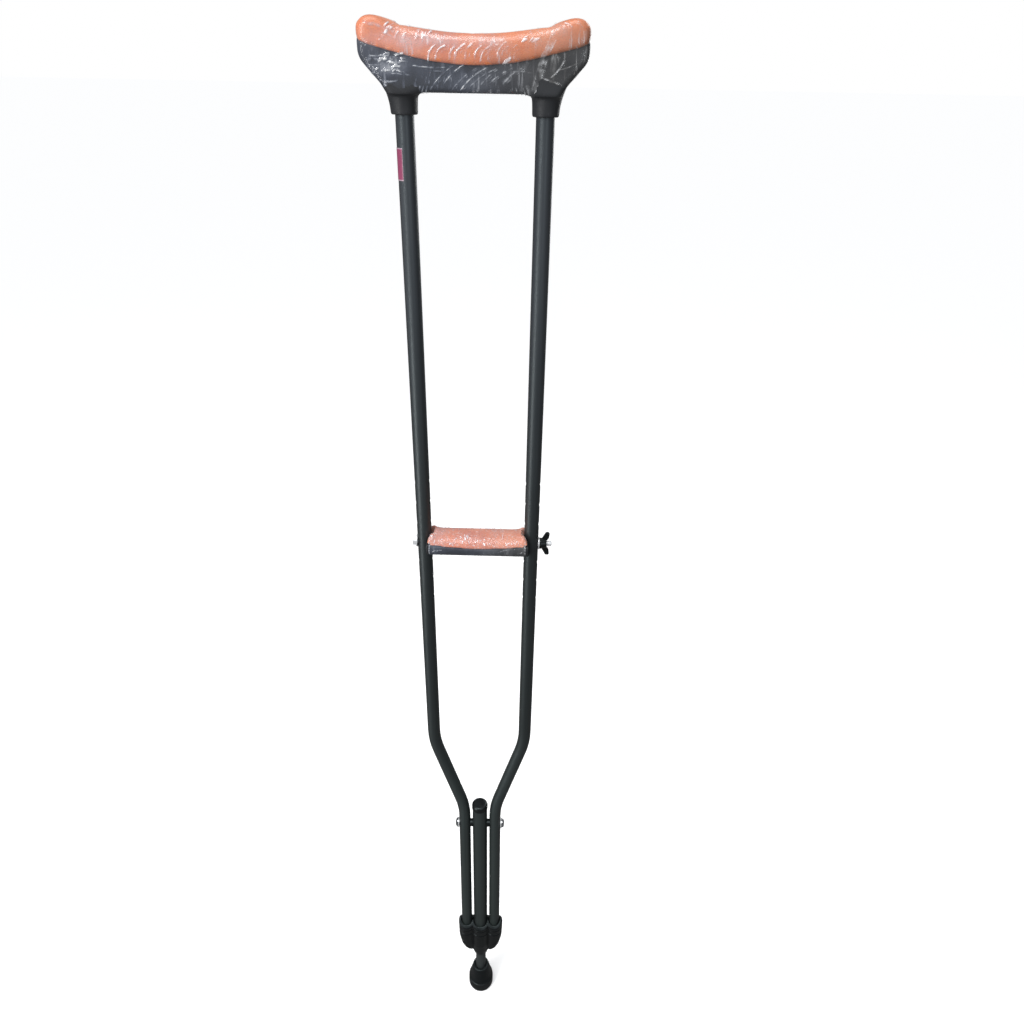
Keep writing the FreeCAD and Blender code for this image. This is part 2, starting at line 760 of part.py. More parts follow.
def rubber_tip():
    """The flared rubber foot, with ring grooves in its base and a disc under the leg."""
    floor = size.leg_foot - size.disc_thickness
    radius, height, bore = size.tip_radius, size.tip_height, size.side_tube_radius + 0.02
    corners = [(0.0, 0.0)]
    for groove in (5.0, 10.0):
        corners += [
            (groove, 0.0),
            (groove + 0.3, size.tread_depth),
            (groove + 2.2, size.tread_depth),
            (groove + 2.5, 0.0),
        ]
    corners += [
        (radius - 1.5, 0.0, 1.0),
        (radius, 4.0, 4.0),
        (radius, 19.4, 0.6),
        (radius - 1.1, 20.2, 0.4),
        (radius - 1.1, 21.4, 0.4),
        (radius - 0.2, 22.2, 0.5),
        (radius - 2.3, 28.5, 5.0),
        (radius - 6.4, height - 3.2, 4.0),
        (radius - 7.0, height, 1.2),
        (bore + size.tip_mouth, height),
        (bore, height - 3.0),
        (bore, floor),
        (0.0, floor),
    ]
    keep(lathe("rubber_tip_body", corners), "rubber_tip")
    disc = cylinder("tip_disc_blank", size.side_tube_radius - 0.1, size.disc_thickness, z=floor)
    keep(disc, "tip_insert_disc")


def snap_button():
    """The domed button, and the U-shaped leaf spring that pushes it out."""
    thin, bend = size.clip_thickness, size.clip_bend
    front, back = -size.clip_front, size.clip_back
    foot, top = size.button_height - size.clip_drop, size.button_height + size.clip_rise
    front_top = top + 6.0
    corners = [
        (back, top),
        (back, foot, bend),
        (front, foot, bend),
        (front, front_top),
        (front + thin, front_top),
        (front + thin, foot + thin, bend - thin),
        (back - thin, foot + thin, bend - thin),
        (back - thin, top),
    ]
    keep(slab("button_clip_body", "YZ_Plane", corners, size.clip_width), "button_clip_spring")
    profile = [
        (0.0, 0.0),
        (size.button_radius, 0.0),
        (size.button_radius, size.button_length, 2.6),
        (0.0, size.button_length),
    ]
    button = lathe("snap_button_body", profile, y=back + 0.02, z=size.button_height, turn=Z_TO_Y)
    keep(button, "snap_button")


side_tube("side_tube_left", -1)
side_tube("side_tube_right", 1)
centre_tube()
centre_tube_cap()
underarm_housing()
underarm_pad()
bottom_bracket()
lower_fasteners()
size_label()
grip_pieces()
grip_fasteners()
leg_tube()
rubber_tip()
snap_button()
doc.recompute()

for thing in doc.Objects:
    if "Invalid" in thing.State or "Error" in thing.State:
        raise SystemExit(f"{thing.Name} ({thing.Label}) did not compute: {thing.State}")
os.makedirs("parts", exist_ok=True)
for thing in parts:
    if thing.Shape.isNull() or not thing.Shape.isValid():
        raise SystemExit(f"{thing.Label} has no valid shape")
    thing.Shape.exportStep(f"parts/{thing.Label}.step")
    bounds = thing.Shape.BoundBox
    print(f"{thing.Label}: {len(thing.Shape.Solids)} solid(s), {thing.Shape.Volume:.0f} mm3, "
          f"x {bounds.XMin:.1f}..{bounds.XMax:.1f}, y {bounds.YMin:.1f}..{bounds.YMax:.1f}, "
          f"z {bounds.ZMin:.1f}..{bounds.ZMax:.1f}")
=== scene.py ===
import math

import bmesh
import bpy
import numpy as np
from mathutils import Matrix, Vector, noise


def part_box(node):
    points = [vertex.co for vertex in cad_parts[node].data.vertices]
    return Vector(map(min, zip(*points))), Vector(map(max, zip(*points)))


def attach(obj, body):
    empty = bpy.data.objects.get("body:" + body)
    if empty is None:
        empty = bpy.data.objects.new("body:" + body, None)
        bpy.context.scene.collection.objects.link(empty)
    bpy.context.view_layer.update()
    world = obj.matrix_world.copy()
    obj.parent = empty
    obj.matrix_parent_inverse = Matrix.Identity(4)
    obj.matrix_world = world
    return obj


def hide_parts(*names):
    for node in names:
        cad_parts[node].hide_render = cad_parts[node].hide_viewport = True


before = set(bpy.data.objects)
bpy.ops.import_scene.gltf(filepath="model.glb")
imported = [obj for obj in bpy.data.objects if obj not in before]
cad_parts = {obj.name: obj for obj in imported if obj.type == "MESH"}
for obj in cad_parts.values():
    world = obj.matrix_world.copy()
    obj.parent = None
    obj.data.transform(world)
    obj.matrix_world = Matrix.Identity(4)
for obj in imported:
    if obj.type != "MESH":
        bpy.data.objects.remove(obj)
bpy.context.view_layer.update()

# Metres, in the CAD's frame: the origin is the centre of the tip's base, +Z is up and -Y is towards
# the camera.
MM = 0.001


def node_box(node):
    low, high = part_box(node)
    return Vector(low), Vector(high)


PAD_LOW, _ = node_box("underarm_pad")
COVER_LOW, _ = node_box("grip_cushion")
LABEL_LOW, LABEL_HIGH = node_box("size_label")
BOLT_LOW, BOLT_HIGH = node_box("grip_bolt")

# the pad meets the housing on a curve: its height is PAD_LOW.z + BORDER_BEND * x * x
BORDER_BEND = 1.906


# the camera, level with the pad, near, and looking down at the tip

CAMERA_PLACE = Vector((0.0445, -0.7288, 1.3437))
CAMERA_PITCH, CAMERA_YAW, CAMERA_ROLL = 30.20, 0.55, -1.08
CAMERA_LENS = 27.07


def make_camera():
    camera = bpy.data.cameras.new("camera")
    camera.lens = CAMERA_LENS
    camera.sensor_width = 36.0
    camera.clip_start = 0.01
    holder = bpy.data.objects.new("camera", camera)
    bpy.context.scene.collection.objects.link(holder)
    level = Matrix.Rotation(math.radians(90.0 - CAMERA_PITCH), 4, "X")
    yaw = Matrix.Rotation(math.radians(CAMERA_YAW), 4, "Z")
    roll = Matrix.Rotation(math.radians(-CAMERA_ROLL), 4, "Z")
    holder.matrix_world = Matrix.Translation(CAMERA_PLACE) @ yaw @ level @ roll
    bpy.context.scene.camera = holder


make_camera()


# materials


class Paint:
    """A Principled material, wired up by short calls. Patterns are in the object's own metres."""

    def __init__(self, name, colour, roughness, metallic=0.0, **sockets):
        self.material = bpy.data.materials.new(name)
        self.material.use_nodes = True
        self.tree = self.material.node_tree
        self.surface = self.tree.nodes["Principled BSDF"]
        self.place = self.node("ShaderNodeTexCoord").outputs["Object"]
        self.surface.inputs["Base Color"].default_value = (*colour, 1.0)
        self.surface.inputs["Roughness"].default_value = roughness
        self.surface.inputs["Metallic"].default_value = metallic
        for socket, value in sockets.items():
            self.surface.inputs[socket.replace("_", " ")].default_value = value

    def node(self, kind, **settings):
        made = self.tree.nodes.new(kind)
        for name, value in settings.items():
            setattr(made, name, value)
        return made

    def link(self, value, socket):
        if isinstance(value, bpy.types.NodeSocket):
            self.tree.links.new(value, socket)
        else:
            socket.default_value = value

    def stretched(self, stretch, turn=(0.0, 0.0, 0.0)):
        """The object's coordinates, scaled by stretch after a turn in degrees."""
        mapping = self.node("ShaderNodeMapping")
        mapping.inputs["Rotation"].default_value = [math.radians(angle) for angle in turn]
        mapping.inputs["Scale"].default_value = stretch
        self.link(self.place, mapping.inputs["Vector"])
        return mapping.outputs["Vector"]

    def noise(self, scale, detail=3.0, roughness=0.5, place=None):
        made = self.node("ShaderNodeTexNoise")
        self.link(self.place if place is None else place, made.inputs["Vector"])
        made.inputs["Scale"].default_value = scale
        made.inputs["Detail"].default_value = detail
        made.inputs["Roughness"].default_value = roughness
        return made.outputs["Fac"]

    def cells(self, scale):
        made = self.node("ShaderNodeTexVoronoi")
        self.link(self.place, made.inputs["Vector"])
        made.inputs["Scale"].default_value = scale
        return made.outputs["Distance"]

    def ramp(self, value, low, high, bottom=0.0, top=1.0):
        """value, from low to high, brought to bottom to top, and held there."""
        made = self.node("ShaderNodeMapRange")
        self.link(value, made.inputs["Value"])
        limits = {"From Min": low, "From Max": high, "To Min": bottom, "To Max": top}
        for name, number in limits.items():
            made.inputs[name].default_value = number
        return made.outputs["Result"]

    def maths(self, operation, first, second=0.0):
        made = self.node("ShaderNodeMath", operation=operation)
        self.link(first, made.inputs[0])
        self.link(second, made.inputs[1])
        return made.outputs[0]

    def blend(self, amount, first, second):
        """first where amount is 0, second where it is 1; both are colours."""
        made = self.node("ShaderNodeMix", data_type="RGBA")
        colours = [socket for socket in made.inputs if socket.type == "RGBA"]
        self.link(amount, made.inputs["Factor"])
        for socket, colour in zip(colours, (first, second)):
            plain = not isinstance(colour, bpy.types.NodeSocket)
            self.link((*colour, 1.0) if plain else colour, socket)
        return next(socket for socket in made.outputs if socket.type == "RGBA")

    def facing(self):
        """1 where the surface faces the viewer, 0 at its rim."""
        made = self.node("ShaderNodeLayerWeight")
        made.inputs["Blend"].default_value = 0.5
        return self.maths("SUBTRACT", 1.0, made.outputs["Facing"])

    def axes(self):
        """The object's own X, Y and Z, as numbers."""
        parts = self.node("ShaderNodeSeparateXYZ")
        self.link(self.place, parts.inputs[0])
        return parts.outputs

    def colour(self, value):
        self.link(value, self.surface.inputs["Base Color"])

    def rough(self, value):
        self.link(value, self.surface.inputs["Roughness"])

    def bump(self, value, depth, strength=1.0):
        made = self.node("ShaderNodeBump")
        made.inputs["Strength"].default_value = strength
        made.inputs["Distance"].default_value = depth
        self.link(value, made.inputs["Height"])
        self.link(made.outputs["Normal"], self.surface.inputs["Normal"])


# the tint of the highlights on the paint, the bracket and the rubber
COOL_GLEAM = (0.82, 0.98, 1.0, 1.0)


def tube_paint():
    """Dark powder coat: fine orange peel, faint draw lines along the tube and a few dull rubs.

    Its tone over the height follows the shading in the photo: palest near the pad and at the foot of the
    leg, darkest over the middle."""
    paint = Paint("tube_paint", (0.012, 0.0135, 0.0145), 0.4, Coat_Weight=0.15, Coat_Roughness=0.3,
                  Specular_Tint=COOL_GLEAM)
    level = paint.axes()["Z"]
    tall = paint.ramp(level, 0.35, 1.2)
    lines = paint.noise(330.0, 2.0, place=paint.stretched((1.0, 1.0, 0.01)))
    cloud = paint.noise(14.0, 4.0, place=paint.stretched((1.0, 1.0, 0.25)))
    mottle = paint.ramp(paint.maths("ADD", cloud, paint.maths("MULTIPLY", lines, 0.8)), 0.55, 1.2)
    low = paint.blend(mottle, (0.0125, 0.0172, 0.0165), (0.0255, 0.033, 0.0315))
    high = paint.blend(mottle, (0.020, 0.0225, 0.029), (0.042, 0.045, 0.052))
    # painted shade and highlight: darker at the tube's rims, lighter where it faces the viewer
    rim = paint.blend(tall, (0.003, 0.0036, 0.0036), (0.012, 0.013, 0.016))
    body = paint.blend(paint.ramp(paint.facing(), 0.05, 0.6), rim, paint.blend(tall, low, high))
    above_foot = paint.ramp(level, 0.42, 0.60)
    below_top = paint.ramp(level, 0.85, 1.20, 1.0, 0.0)
    middle = paint.maths("MINIMUM", above_foot, below_top)
    body = paint.blend(paint.ramp(level, 0.08, 0.11, 0.5, 0.0), body, (0.045, 0.05, 0.052))
    paint.colour(paint.blend(paint.maths("MULTIPLY", middle, 0.7), body, (0.006, 0.0078, 0.0078)))
    rubs = paint.noise(60.0, 5.0, 0.6, place=paint.stretched((1.0, 1.0, 0.12)))
    paint.rough(paint.ramp(rubs, 0.3, 0.75, 0.42, 0.56))
    paint.bump(paint.noise(1400.0, 2.0), 0.00008, 0.5)
    return paint.material


def black_plastic(name, grain, tone, roughness, gleam=(1.0, 1.0, 1.0, 1.0)):
    """Injection-moulded black plastic with a spark-eroded grain and soft clouding."""
    paint = Paint(name, (tone, tone, tone * 1.1), roughness, Specular_IOR_Level=0.35,
                  Specular_Tint=gleam)
    cloud = paint.noise(35.0, 4.0)
    dark = (tone * 0.8, tone * 0.86, tone * 0.98)
    pale = (tone * 1.3, tone * 1.38, tone * 1.55)
    paint.colour(paint.blend(cloud, dark, pale))
    paint.rough(paint.ramp(paint.noise(90.0, 3.0), 0.3, 0.7, roughness - 0.07, roughness + 0.1))
    paint.bump(paint.noise(grain, 3.0, 0.6), 0.00012, 0.45)
    return paint.material


def rubber():
    """Black rubber with a faint bloom and a rubbed, dusty lower edge."""
    paint = Paint("tip_rubber", (0.008, 0.0085, 0.0095), 0.5, Specular_IOR_Level=0.35,
                  Specular_Tint=COOL_GLEAM)
    tall = paint.axes()["Z"]
    dust = paint.maths("MULTIPLY", paint.ramp(tall, 0.0, 0.012, 1.0, 0.0), paint.noise(240.0, 4.0))
    bloom = paint.maths("ADD", dust, paint.ramp(paint.noise(55.0, 4.0), 0.45, 0.8, 0.0, 0.22))
    paint.colour(paint.blend(bloom, (0.0025, 0.003, 0.0036), (0.03, 0.03, 0.03)))
    paint.rough(paint.ramp(paint.noise(120.0, 3.0), 0.3, 0.7, 0.34, 0.52))
    paint.bump(paint.noise(1100.0, 3.0, 0.6), 0.0001, 0.5)
    return paint.material


def foam(name, light, deep, pore_scale, pore_depth, fleck, curve=None):
    """Moulded foam: uneven orange, darker in small pores, with pale flecks.

    curve is (foot, bend) for foam that deepens in colour towards its lower edge and to the right, after
    the shading in the photo. That edge is at height foot + bend * x * x."""
    paint = Paint(name, light, 0.5, Subsurface_Weight=0.12, Sheen_Weight=0.15)
    paint.surface.inputs["Subsurface Radius"].default_value = (0.004, 0.0015, 0.001)
    paint.surface.inputs["Subsurface Scale"].default_value = 1.0
    paint.surface.inputs["Sheen Roughness"].default_value = 0.4
    cloud = paint.noise(38.0, 5.0, 0.55)
    pores = paint.ramp(paint.cells(pore_scale), 0.1, 0.34)
    base = paint.blend(paint.ramp(cloud, 0.35, 0.65), deep, light)
    dark = [channel * 0.8 for channel in deep]
    pale = [0.55 + channel * 0.4 for channel in light]
    flecks = paint.ramp(paint.noise(pore_scale * 0.9, 3.0, 0.7), 0.56, 0.72, 0.0, fleck)
    body = paint.blend(flecks, paint.blend(pores, dark, base), pale)
    # painted shade: the orange darkens towards the foam's lower edge, and more so to the right
    if curve:
        foot, bend = curve
        across, _, tall = paint.axes()
        line = paint.maths("MULTIPLY", paint.maths("MULTIPLY", across, across), bend)
        above = paint.maths("SUBTRACT", tall, line)
        low = paint.ramp(above, foot + 1.0 * MM, foot + 19.0 * MM, 1.0, 0.0)
        right = paint.ramp(across, -0.065, 0.08, 0.05, 0.95)
        painted_shade_orange = [channel * 0.52 for channel in deep]
        body = paint.blend(paint.maths("MULTIPLY", low, right), body, painted_shade_orange)
    paint.colour(body)
    paint.rough(paint.ramp(cloud, 0.3, 0.7, 0.4, 0.55))
    fine = paint.noise(900.0, 3.0, 0.6)
    paint.bump(paint.maths("ADD", paint.maths("MULTIPLY", fine, 0.4), pores), pore_depth, 0.6)
    return paint.material


def zinc():
    """Bright zinc plate, brushed and faintly blotched."""
    paint = Paint("zinc_plate", (0.62, 0.64, 0.66), 0.35, 0.55)
    blotch = paint.noise(300.0, 4.0)
    paint.colour(paint.blend(blotch, (0.62, 0.64, 0.66), (0.88, 0.89, 0.9)))
    paint.rough(paint.ramp(paint.noise(700.0, 3.0), 0.3, 0.7, 0.3, 0.5))
    paint.bump(paint.noise(1800.0, 2.0), 0.00003, 0.4)
    return paint.material


def chrome():
    paint = Paint("chrome_plate", (0.5, 0.51, 0.53), 0.12, 1.0)
    paint.rough(paint.ramp(paint.noise(500.0, 3.0), 0.35, 0.7, 0.07, 0.2))
    paint.bump(paint.noise(900.0, 2.0), 0.00002, 0.3)
    return paint.material


def spring_steel():
    paint = Paint("spring_steel", (0.33, 0.34, 0.35), 0.35, 1.0)
    grain = paint.noise(500.0, 4.0, place=paint.stretched((1.0, 1.0, 0.05)))
    paint.rough(paint.ramp(grain, 0.3, 0.7, 0.25, 0.45))
    paint.colour(paint.blend(grain, (0.25, 0.26, 0.27), (0.42, 0.43, 0.44)))
    return paint.material


def label_print():
    """A magenta label with a pale margin along its front edge and its two ends."""
    paint = Paint("label_print", (0.25, 0.03, 0.09), 0.35, Coat_Weight=0.3, Coat_Roughness=0.15)
    across, _, tall = paint.axes()
    edge = LABEL_HIGH.x
    margin = paint.ramp(across, edge - 1.25 * MM, edge - 0.95 * MM)
    top = paint.ramp(tall, LABEL_HIGH.z - 1.0 * MM, LABEL_HIGH.z - 0.8 * MM)
    foot = paint.ramp(tall, LABEL_LOW.z + 1.0 * MM, LABEL_LOW.z + 0.8 * MM)
    pale = paint.maths("MAXIMUM", margin, paint.maths("MAXIMUM", top, foot))
    mottle = paint.noise(420.0, 4.0, 0.6)
    body = paint.blend(mottle, (0.2, 0.035, 0.085), (0.34, 0.07, 0.15))
    paint.colour(paint.blend(pale, body, (0.42, 0.3, 0.36)))
    paint.bump(paint.noise(600.0, 2.0), 0.00005, 0.4)
    return paint.material


def clear_film():
    """Thin clear film: cloudy by the sheet's "haze" values, milky where "crease" says it is folded; the
    milky white is partly painted highlights.

    Its tint, bluer on the left, follows the photo too."""
    paint = Paint("clear_film", (0.6, 0.63, 0.68), 0.1, IOR=2.2)
    lean = paint.stretched((1.0, 1.0, 0.12), (0.0, 35.0, 0.0))
    folded = paint.node("ShaderNodeAttribute", attribute_name="crease").outputs["Fac"]
    grain = paint.ramp(paint.noise(300.0, 3.0, 0.65), 0.3, 0.55, 0.45, 1.0)
    fold = paint.maths("MULTIPLY", folded, grain)
    streak = paint.ramp(paint.noise(340.0, 3.0, 0.6, lean), 0.54, 0.72, 0.0, 0.36)
    patch = paint.ramp(paint.noise(34.0, 4.0, 0.55), 0.4, 0.62)
    cloudy = paint.node("ShaderNodeAttribute", attribute_name="haze").outputs["Fac"]
    cloud = paint.maths("MULTIPLY", cloudy, paint.ramp(patch, 0.0, 1.0, 0.5, 1.4))
    haze = paint.maths("ADD", paint.maths("MULTIPLY", streak, patch), cloud)
    # milky where folded or cloudy, and whitened there as painted highlights
    milk_and_glint = paint.maths("MAXIMUM", fold, haze)
    paint.link(paint.ramp(milk_and_glint, 0.0, 1.0, 0.03, 0.95), paint.surface.inputs["Alpha"])
    # painted light: the film is tinted bluer on the left and grey on the right
    to_the_right = paint.ramp(paint.axes()["X"], -0.01, 0.06)
    tint = paint.blend(to_the_right, (0.40, 0.46, 0.62), (0.47, 0.46, 0.45))
    paint.colour(paint.blend(paint.ramp(milk_and_glint, 0.1, 0.6), tint, (0.95, 0.97, 1.0)))
    paint.rough(paint.ramp(paint.noise(80.0, 3.0), 0.3, 0.7, 0.08, 0.22))
    paint.bump(paint.noise(330.0, 4.0, 0.6, lean), 0.0005, 0.7)
    paint.material.surface_render_method = "BLENDED"
    return paint.material


MATERIALS = {
    "tube_paint": tube_paint(),
    "housing_plastic": black_plastic("housing_plastic", 900.0, 0.022, 0.5),
    "grip_plastic": black_plastic("grip_plastic", 800.0, 0.014, 0.45),
    "bracket_plastic": black_plastic("bracket_plastic", 700.0, 0.0025, 0.33, COOL_GLEAM),
    "pad_foam": foam("pad_foam", (0.79, 0.275, 0.125), (0.70, 0.205, 0.078), 900.0, 0.0001, 0.1,
                     (PAD_LOW.z, BORDER_BEND)),
    "grip_foam": foam("grip_foam", (0.70, 0.29, 0.19), (0.60, 0.19, 0.1), 420.0, 0.0003, 0.7),
    "zinc": zinc(),
    "chrome": chrome(),
    "spring": spring_steel(),
    "rubber": rubber(),
    "label": label_print(),
    "film": clear_film(),
}

NODE_MATERIALS = {
    "side_tube_left": "tube_paint",
    "side_tube_right": "tube_paint",
    "centre_tube": "tube_paint",
    "leg_tube": "tube_paint",
    "centre_tube_cap": "bracket_plastic",
    "underarm_housing": "housing_plastic",
    "bottom_bracket": "bracket_plastic",
    "grip_core": "grip_plastic",
    "wing_nut": "bracket_plastic",
    "lower_bolt_spacers": "bracket_plastic",
    "lower_bolt": "chrome",
    "lower_bolt_cap_nut": "chrome",
    "lower_bolt_washers": "zinc",
    "grip_bolt": "zinc",
    "grip_bolt_washer": "zinc",
    "wing_nut_washer": "zinc",
    "snap_button": "zinc",
    "button_clip_spring": "spring",
    "tip_insert_disc": "spring",
    "rubber_tip": "rubber",
    "size_label": "label",
}


def dress(piece, material):
    piece.data.materials.clear()
    piece.data.materials.append(MATERIALS[material])


for node, material in NODE_MATERIALS.items():
    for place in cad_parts[node].material_slots:
        place.material = MATERIALS[material]


# the studio: a pale floor, a pale world and soft lamps


def make_stage():
    floor = bpy.data.meshes.new("floor")
    size = 60.0
    corners = [(-size, -size, 0), (size, -size, 0), (size, size, 0), (-size, size, 0)]
    floor.from_pydata(corners, [], [(0, 1, 2, 3)])
    ground = bpy.data.objects.new("floor", floor)
    bpy.context.scene.collection.objects.link(ground)
    paint = Paint("floor_paint", (0.9, 0.9, 0.9), 0.95)
    paint.surface.inputs["Specular IOR Level"].default_value = 0.0
    paint.surface.inputs["Emission Color"].default_value = (1.0, 1.0, 1.0, 1.0)
    paint.surface.inputs["Emission Strength"].default_value = 0.155
    seen = paint.node("ShaderNodeLightPath").outputs["Is Camera Ray"]
    paint.colour(paint.blend(seen, (0.03, 0.03, 0.03), (0.97, 0.97, 0.97)))
    ground.data.materials.append(paint.material)
    world = bpy.data.worlds.new("studio")
    world.use_nodes = True
    tree = world.node_tree
    dim = tree.nodes["Background"]
    dim.inputs[0].default_value = (0.93, 0.96, 1.0, 1.0)
    dim.inputs[1].default_value = 0.22
    white = tree.nodes.new("ShaderNodeBackground")
    white.inputs[0].default_value = (1.0, 1.0, 1.0, 1.0)
    seen = tree.nodes.new("ShaderNodeLightPath")
    mix = tree.nodes.new("ShaderNodeMixShader")
    tree.links.new(seen.outputs["Is Camera Ray"], mix.inputs[0])
    tree.links.new(dim.outputs[0], mix.inputs[1])
    tree.links.new(white.outputs[0], mix.inputs[2])
    tree.links.new(mix.outputs[0], tree.nodes["World Output"].inputs[0])
    bpy.context.scene.world = world


def make_lamp(name, place, aim, size, power, tint=(1.0, 1.0, 1.0)):
    lamp = bpy.data.lights.new(name, "AREA")
    lamp.shape = "RECTANGLE"
    lamp.size, lamp.size_y = size
    lamp.energy = power
    lamp.color = tint
    holder = bpy.data.objects.new(name, lamp)
    holder.location = place
    holder.rotation_euler = (Vector(aim) - Vector(place)).to_track_quat("-Z", "Y").to_euler()
    bpy.context.scene.collection.objects.link(holder)


def make_sun(strength, spread, tilt):
    """A soft, even light from almost straight above."""
    lamp = bpy.data.lights.new("sky", "SUN")
    lamp.energy = strength
    lamp.angle = math.radians(spread)
    holder = bpy.data.objects.new("sky", lamp)
    holder.location = (0.0, 0.0, 3.0)
    holder.rotation_euler = [math.radians(angle) for angle in (*tilt, 0.0)]
    bpy.context.scene.collection.objects.link(holder)


make_stage()
make_sun(strength=2.1, spread=40.0, tilt=(12.0, -8.0))
make_lamp("key", (-0.85, -1.1, 1.95), (0, 0, 1.3), (0.35, 0.6), 13.0)
make_lamp("side", (-1.05, -1.05, 0.75), (0, 0, 0.65), (0.4, 1.5), 10.0)
make_lamp("window", (0.6, -1.3, 1.4), (0, 0, 1.2), (0.25, 0.8), 3.2, (0.9, 0.95, 1.0))
make_lamp("low", (-0.85, -0.55, 0.45), (0, 0, 0.28), (0.2, 0.7), 2.5)
make_lamp("rear", (0.9, 1.3, 1.6), (0, 0, 0.9), (0.6, 1.4), 14.0)
bpy.context.scene.view_settings.view_transform = "Standard"


# mesh work


def add_piece(name, mesh, material, body, *replaced):
    piece = bpy.data.objects.new(name, mesh)
    bpy.context.scene.collection.objects.link(piece)
    dress(piece, material)
    for polygon in mesh.polygons:
        polygon.use_smooth = True
    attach(piece, body)
    if replaced:
        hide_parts(*replaced)
    return piece


def with_modifiers(mesh, *modifiers):
    """A new mesh: the given one after a list of (type, settings)."""
    holder = bpy.data.objects.new("working", mesh)
    bpy.context.scene.collection.objects.link(holder)
    for number, (kind, settings) in enumerate(modifiers):
        modifier = holder.modifiers.new(f"step{number}", kind)
        for name, value in settings.items():
            setattr(modifier, name, value)
    graph = bpy.context.evaluated_depsgraph_get()
    made = bpy.data.meshes.new_from_object(holder.evaluated_get(graph), depsgraph=graph)
    bpy.data.objects.remove(holder)
    return made


def remeshed(mesh, voxel, passes):
    """A new, even mesh with its edges softened by some passes of smoothing."""
    return with_modifiers(mesh, ("REMESH", {"mode": "VOXEL", "voxel_size": voxel}),
                          ("SMOOTH", {"factor": 0.5, "iterations": passes}))


def joined_meshes(parts):
    """Several meshes in one new mesh."""
    joined = bmesh.new()
    for part in parts:
        joined.from_mesh(part)
    mesh = bpy.data.meshes.new("copy")
    joined.to_mesh(mesh)
    joined.free()
    return mesh


def node_mesh(*nodes):
    """The meshes of CAD nodes, joined in one new mesh."""
    return joined_meshes([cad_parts[node].data for node in nodes])


def points_of(mesh):
    points = np.empty(len(mesh.vertices) * 3)
    mesh.vertices.foreach_get("co", points)
    return points.reshape(-1, 3)


def set_points(mesh, points):
    mesh.vertices.foreach_set("co", np.ascontiguousarray(points).ravel())
    mesh.update()


SIMULATED_FRAMES = 20


def inflate(mesh, pressure, free, cap):
    """Swells a closed mesh by cloth simulation.

    free says, 0 to 1, how much of cap metres each point may move."""
    holder = bpy.data.objects.new("swelling", mesh)
    bpy.context.scene.collection.objects.link(holder)
    pins = holder.vertex_groups.new(name="held")
    for index, share in enumerate(free):
        pins.add([index], 1.0 - float(share), "REPLACE")
    cloth = holder.modifiers.new("cloth", "CLOTH")
    cloth.settings.use_pressure = True
    cloth.settings.uniform_pressure_force = pressure
    cloth.settings.effector_weights.gravity = 0.0
    cloth.settings.vertex_group_mass = "held"
    cloth.settings.tension_stiffness = 25.0
    cloth.settings.bending_stiffness = 2.0
    scene = bpy.context.scene
    for number in range(1, SIMULATED_FRAMES + 1):
        scene.frame_set(number)
    graph = bpy.context.evaluated_depsgraph_get()
    swollen = bpy.data.meshes.new_from_object(holder.evaluated_get(graph), depsgraph=graph)
    before, after = points_of(mesh), points_of(swollen)
    bpy.data.objects.remove(holder)
    scene.frame_set(1)
    step = after - before
    length = np.linalg.norm(step, axis=1, keepdims=True)
    limit = cap * np.asarray(free)[:, None]
    step *= np.minimum(1.0, limit / np.maximum(length, 1e-9))
    set_points(mesh, before + step)
    return mesh


def smooth_step(value, low, high):
    """0 below low, 1 above high, and a smooth rise between them, for arrays."""
    share = np.clip((value - low) / (high - low), 0.0, 1.0)
    return share * share * (3.0 - 2.0 * share)


# the two foam cushions: crowned, and drawn in at their lower edges

CUSHION_PRESSURE = 4.0


def border_height(x):
    """Height of the line where the pad meets the housing."""
    return PAD_LOW.z + BORDER_BEND * x * x


def make_pad():
    mesh = remeshed(node_mesh("underarm_pad"), 2.4 * MM, 4)
    points = points_of(mesh)
    above = points[:, 2] - border_height(points[:, 0])
    free = smooth_step(above, 1.0 * MM, 7.0 * MM)
    # drawn in a little first, because the simulation swells it
    points[:, 1] *= 1.0 - 0.05 * free
    points[:, 2] -= 1.4 * MM * smooth_step(above, 8.0 * MM, 14.0 * MM)
    set_points(mesh, points)
    inflate(mesh, CUSHION_PRESSURE, free, 1.8 * MM)
    # the lower edge is pressed down on the housing, most of all at the two ends
    points = points_of(mesh)
    sag = 1.5 + 1.3 * smooth_step(np.abs(points[:, 0]), 0.055, 0.088)
    points[:, 2] -= sag * MM * (1.0 - smooth_step(above, 0.0, 7.0 * MM))
    set_points(mesh, points)
    mesh = with_modifiers(mesh, ("SMOOTH", {"factor": 0.5, "iterations": 2}),
                          ("SUBSURF", {"levels": 1}))
    pad = add_piece("underarm_cushion", mesh, "pad_foam", "frame", "underarm_pad")
    return pad


